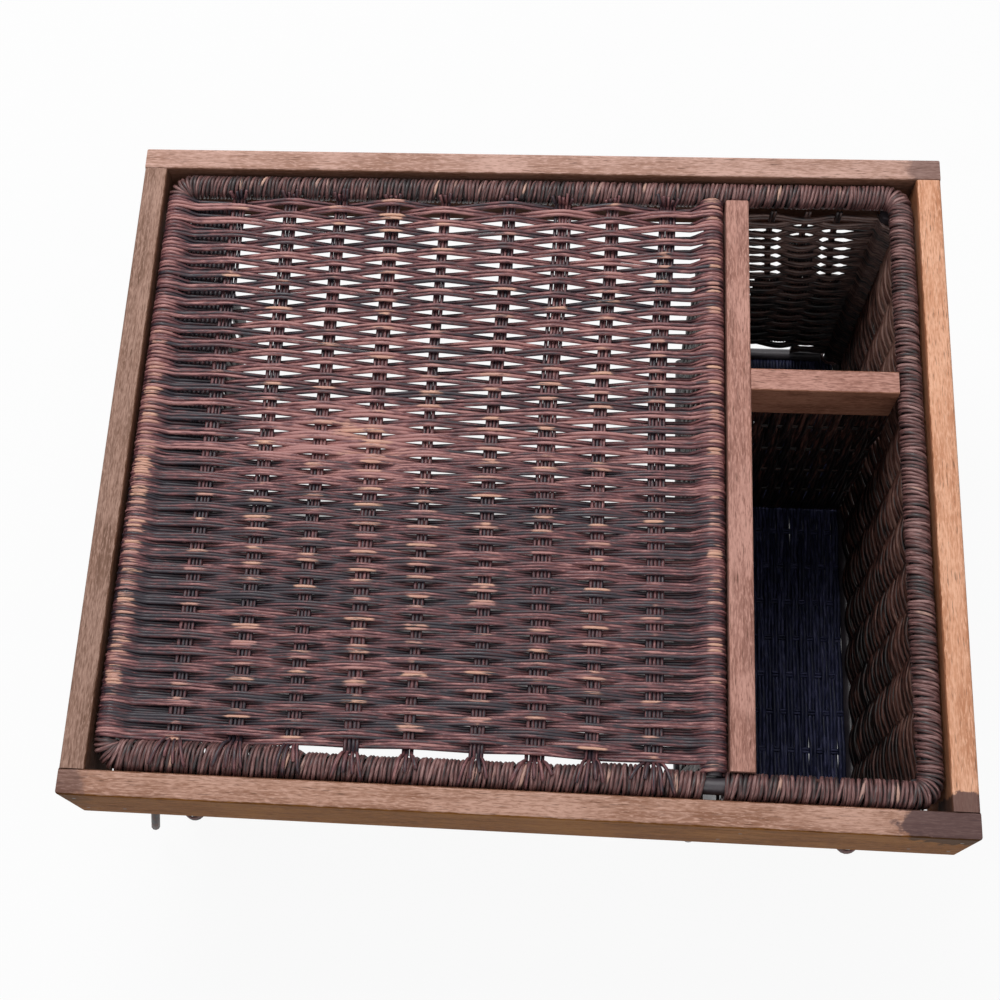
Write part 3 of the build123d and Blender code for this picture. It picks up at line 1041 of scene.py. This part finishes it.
def face_group():
    """Mask of the flat face of a board that lies farthest along a way."""
    sockets = {"Vector": VECTOR, "Way": VECTOR, "Edge": VALUE}
    tree, given, result = start_group("board_face", sockets, {"Mask": VALUE})
    far = combine_vectors("DOT_PRODUCT", given["Vector"], given["Way"])["Value"]
    short = combine("SUBTRACT", given["Edge"], far)
    frayed = spread(noise_value(given["Vector"], 160, 4), 0.3, 0.7, -0.2 * MM, 0.2 * MM)
    join(spread(combine("ADD", short, frayed), 0.8 * MM, 0.4 * MM), result["Mask"])
    return tree


def wood_material(node, groups, turn, tones, stains, faces, offset):
    """Worn stained wood whose grain follows a board, with stains and with faces of other tones, some
    darkened as painted shade.

    A stain has a centre, a reach, a softness and a strength. A face is named by its axis and by
    whether it is the high end of the node along that axis.
    """
    grain, stain, face = groups
    material, tree, shader = start_material(node + "_wood")
    spot = object_place(tree)
    turned = add_at(spot, "ShaderNodeMapping", {"Rotation": (0, 0, turn), "Location": offset})
    wood = add_at(turned.outputs["Vector"], "ShaderNodeGroup", node_tree=grain)
    for label, colour in zip(("Dark", "Middle", "Light"), tones):
        feed(colour, wood.inputs[label])
    colour = wood.outputs["Color"]
    for centre, reach, softness, strength in stains:
        inputs = {"Centre": centre, "Reach": reach, "Softness": softness}
        mask = add_at(spot, "ShaderNodeGroup", inputs, node_tree=stain).outputs["Mask"]
        colour = mix_colour(combine("MULTIPLY", mask, strength), colour, STAIN_COLOUR)
    for axis, high, shade in faces:
        way = [0.0, 0.0, 0.0]
        way[axis] = 1.0 if high else -1.0
        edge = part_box(node)[1 if high else 0][axis] * way[axis]
        mask = add_at(spot, "ShaderNodeGroup", {"Way": way, "Edge": edge}, node_tree=face).outputs["Mask"]
        colour = mix_colour(mask, colour, mix_colour(1.0, colour, shade, "MULTIPLY"))
    join(colour, shader["Base Color"])
    join(wood.outputs["Roughness"], shader["Roughness"])
    join(bump(wood.outputs["Height"], 0.25, 0.4 * MM), shader["Normal"])
    feed(0.05, shader["Specular IOR Level"])
    return material


def brad_material():
    """Dulled steel of the brads."""
    material, tree, shader, spots = blotched_material(
        "dull_brad", 900, 3, (0.07, 0.05, 0.04), (0.20, 0.18, 0.17))
    join(spread(spots, 0.2, 0.8, 0.35, 0.65), shader["Roughness"])
    feed(0.9, shader["Metallic"])
    return material


def dress_node(node, material):
    """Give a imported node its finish."""
    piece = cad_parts[node]
    if not piece.material_slots:
        piece.data.materials.append(material)
    for holder in piece.material_slots:
        holder.material = material


# Stage


def seen_directly(tree):
    """Share of the rays that see the stage itself, straight or mirrored."""
    rays = add_node(tree, "ShaderNodeLightPath").outputs
    seen = combine("MAXIMUM", rays["Is Camera Ray"], rays["Is Glossy Ray"])
    return combine("MAXIMUM", seen, rays["Is Transmission Ray"])


def floor_material():
    """Pale floor that is seen nearly white, except in the shade under the deck's front half."""
    material, tree, shader, _ = blotched_material(
        "pale_floor", 40, 3, (0.80, 0.80, 0.80), (0.84, 0.84, 0.84))
    feed(0.9, shader["Roughness"])
    parts = add_at(object_place(tree), "ShaderNodeSeparateXYZ").outputs
    rear = spread(parts["Y"], 20 * MM, 60 * MM)
    front = spread(parts["Y"], -90 * MM, -105 * MM)
    side = spread(combine("ABSOLUTE", parts["X"], 0.0), 185 * MM, 200 * MM)
    lit = combine("MAXIMUM", combine("MAXIMUM", rear, front), side)
    share = combine("MULTIPLY", combine("MULTIPLY", seen_directly(tree), lit), 0.93)
    glow = add_node(tree, "ShaderNodeEmission").outputs["Emission"]
    surface = tree.nodes["Material Output"].inputs["Surface"]
    join(mix_shader(share, surface.links[0].from_socket, glow), surface)
    return material


def add_floor():
    """A wide flat floor at the ground."""
    mesh = bpy.data.meshes.new("studio_floor")
    shape = bmesh.new()
    bmesh.ops.create_grid(shape, x_segments=1, y_segments=1, size=4)
    shape.to_mesh(mesh)
    shape.free()
    mesh.materials.append(floor_material())
    add_object("studio_floor", mesh)


def add_lamp(name, spot, size, power):
    """A soft lamp that looks at the caddy."""
    light = bpy.data.lights.new(name, "AREA")
    light.size = size
    light.energy = power
    lamp = add_object(name, light)
    lamp.location = spot
    lamp.rotation_euler = (Vector((0, 0, 0.15)) - lamp.location).to_track_quat("-Z", "Y").to_euler()


def set_sky():
    """A sky that lights softly and is seen white."""
    world = bpy.data.worlds.new("studio_sky")
    world.use_nodes = True
    tree = world.node_tree
    tree.nodes.clear()
    soft = add_node(tree, "ShaderNodeBackground", {"Color": (0.92, 0.95, 1.0, 1.0), "Strength": 0.25})
    plain = add_node(tree, "ShaderNodeBackground", {"Color": (1, 1, 1, 1)})
    sky = mix_shader(seen_directly(tree), soft.outputs["Background"], plain.outputs["Background"])
    join(sky, add_node(tree, "ShaderNodeOutputWorld").inputs["Surface"])
    bpy.context.scene.world = world


def set_camera():
    """The camera of the photograph."""
    lens = bpy.data.cameras.new("photo_camera")
    lens.sensor_width = 36
    lens.lens = 55.505
    lens.shift_x, lens.shift_y = 0.07179, -0.00035
    camera = add_object("photo_camera", lens)
    camera.location = (0.01851, -0.29386, 0.91985)
    camera.rotation_euler = [radians(turn) for turn in (20.629, 3.819, 3.475)]
    bpy.context.scene.camera = camera


def set_stage():
    """Floor, lamps, sky and camera."""
    add_floor()
    add_lamp("high_lamp", spot=(-0.3, 0.75, 1.6), size=0.9, power=21)
    add_lamp("front_lamp", spot=(0.4, -1.2, 1.3), size=1.2, power=4.5)
    set_sky()
    set_camera()
    bpy.context.scene.view_settings.view_transform = "Standard"


# Caddy


def weave_caddy():
    """Make every woven piece and rod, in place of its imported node."""
    cane = cane_group()
    deck = cane_material("deck_cane", cane, DECK_COLOURS)
    rim = cane_material("rim_cane", cane, RIM_COLOURS)
    # The wells' finishes use colours darkened as painted shade
    well = cane_material("well_cane", cane, WELL_SHADED_COLOURS, 0.18, top_only=False)
    well_rear = cane_material("well_rear_cane", cane, WELL_REAR_SHADE_AND_GLINT_COLOURS, 0.5, top_only=False)
    well_floor = cane_material("well_floor_cane", cane, FLOOR_SHADED_COLOURS, 0.18, top_only=False)
    rod = rod_material()

    place_strands("deck_strands", deck_weavers(), deck, "cane_weave", "deck_weave")
    place_strands("deck_bundles", deck_stake_bundles(), deck, "cane_weave", "deck_stakes")

    bindings = (
        ("front", 0.0, front_run(BINDING_HIGH.x), 31),
        ("wells", front_run(SEAM), rear_run(SEAM), 37),
        ("rear", rear_run(SEAM), RIM_LENGTH - RIM_DEEP, 41),
    )
    for side, start, end, seed in bindings:
        turns = wound_rim(start, end, seed)
        place_strands(f"wound_rim_{side}", turns, rim, "cane_binding", f"rim_binding_{side}")

    hoop = [rim_place(RIM_LENGTH * step / HOOP_STEPS)[0] for step in range(HOOP_STEPS)]
    place("rim_hoop", rod_mesh("rim_hoop", hoop, 3, closed=True), rod, "rod_cane", "rim_rod")
    rods = ["deck_edge_rod", "left_foot_rod"]
    rods += [f"wells_{side}_foot_rod" for side in ("left", "right", "front", "rear")]
    rods += [f"{side}_{end}_post" for side in ("left", "middle", "right") for end in ("front", "rear")]
    for number, node in enumerate(rods):
        name = f"{node}_cane"
        place(name, straight_rod(name, node, number), rod, "rod_cane", node)
    place_strands("wound_feet", wound_feet(), rim, "cane_binding", "post_feet")
    place_strands("loose_cane_end", loose_cane_end(), well, "cane_weave", resolution=3)

    Panel("left_wall", Z, Y, 5, 71, tone=0.25, swing=1.1 * MM, radius=1.40 * MM).weave(well)
    Panel("wells_left_wall", Z, Y, 5, 72, tone=0.22, swing=1.4 * MM, radius=1.25 * MM).weave(well)
    Panel("wells_front_wall", X, Z, 3, 73, tone=0.28, swing=2.0 * MM, radius=1.25 * MM).weave(well)
    # The rear wall's darkest backing canes are painted shade
    Panel("wells_rear_wall", X, Z, REAR_STAKES, 74, tone=0.42, swing=2.2 * MM, radius=1.45 * MM,
          row_pitch=REAR_ROW_PITCH, tail=((190 * MM, -5 * MM), (196 * MM, -8 * MM)),
          ends=rear_strand_ends, slack=rear_slack, thinning=rear_thinning, lean=rear_stake_lean,
          shade_backing=(WINDOW_FOOT, 148 * MM, WINDOW_FOOT), foot=26 * MM).weave(well_rear)
    Panel("wells_right_wall", Y, Z, 11, 75, tone=0.36, swing=2.8 * MM, radius=1.15 * MM,
          shade=right_wall_shade).weave(well)
    Panel("wells_floor", Y, X, 12, 76, tone=0.30, swing=1.2 * MM, radius=1.30 * MM, reach=1.5 * MM,
          ends=floor_strand_ends).weave(well_floor)
    # Painted shade: the partition under the cross bar takes a near-black tone
    Panel("wells_partition", Z, X, 4, 77, tone=0.06, swing=1.5 * MM, radius=1.30 * MM,
          reach=1.5 * MM).weave(well)


def finish_wood():
    """Give the boards and bars their wood, and the brads their steel."""
    groups = (grain_group(), stain_group(), face_group())
    pale = ((0.36, 0.195, 0.140), (0.52, 0.310, 0.245), (0.70, 0.445, 0.370))
    grey = ((0.200, 0.110, 0.078), (0.330, 0.192, 0.142), (0.480, 0.300, 0.235))
    tan = ((0.58, 0.255, 0.140), (0.80, 0.405, 0.250), (0.95, 0.540, 0.360))
    warm = ((0.29, 0.140, 0.088), (0.47, 0.260, 0.185), (0.66, 0.400, 0.310))
    bar = ((0.26, 0.120, 0.092), (0.45, 0.225, 0.175), (0.64, 0.350, 0.285))
    # Painted shade on the boards' inner faces, in the gap by the wicker
    dark = (0.42, 0.34, 0.28)
    # Painted shade on the cross bar's front and rear faces, down in the wells
    bar_face_shade = (0.66, 0.56, 0.44)
    olive = (0.54, 0.38, 0.13)
    along_x = 0.0
    along_y = radians(90)
    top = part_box("front_board")[1][Z]
    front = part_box("front_board")[0][Y] + 6 * MM
    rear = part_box("rear_board")[1][Y] - 6 * MM
    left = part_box("left_board")[0][X]
    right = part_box("right_board")[1][X]
    front_stains = (
        ((left + 4 * MM, front, top), (0.014, 0.020, 0.030), 0.5, 0.55),
        ((right - 12 * MM, front, top), (0.024, 0.016, 0.020), 0.18, 0.85),
    )
    rear_stains = (((right - 6 * MM, rear, top), (0.016, 0.018, 0.030), 0.5, 0.55),)
    right_stains = (((right - 6 * MM, front + 9 * MM, top), (0.022, 0.008, 0.030), 0.15, 0.85),)
    boards = (
        ("front_board", along_x, warm, front_stains, ((Y, False, olive), (Y, True, dark)), (0.3, 0, 0)),
        ("rear_board", along_x, pale, rear_stains, ((Y, False, dark),), (1.1, 0.2, 0)),
        ("left_board", along_y, grey, (), ((X, True, dark),), (0.7, 0.4, 0)),
        ("right_board", along_y, tan, right_stains, ((X, False, dark),), (0, 0.9, 0)),
        ("divider_bar", along_y, bar, (), (), (0.2, 0.6, 0.1)),
        ("cross_bar", along_x, bar, (), ((Y, False, bar_face_shade), (Y, True, bar_face_shade)), (0.5, 0.1, 0.3)),
    )
    for node, turn, tones, stains, faces, offset in boards:
        dress_node(node, wood_material(node, groups, turn, tones, stains, faces, offset))
    steel = brad_material()
    for node in ("corner_brads", "post_brads", "bar_brads"):
        dress_node(node, steel)


weave_caddy()
finish_wood()
set_stage()
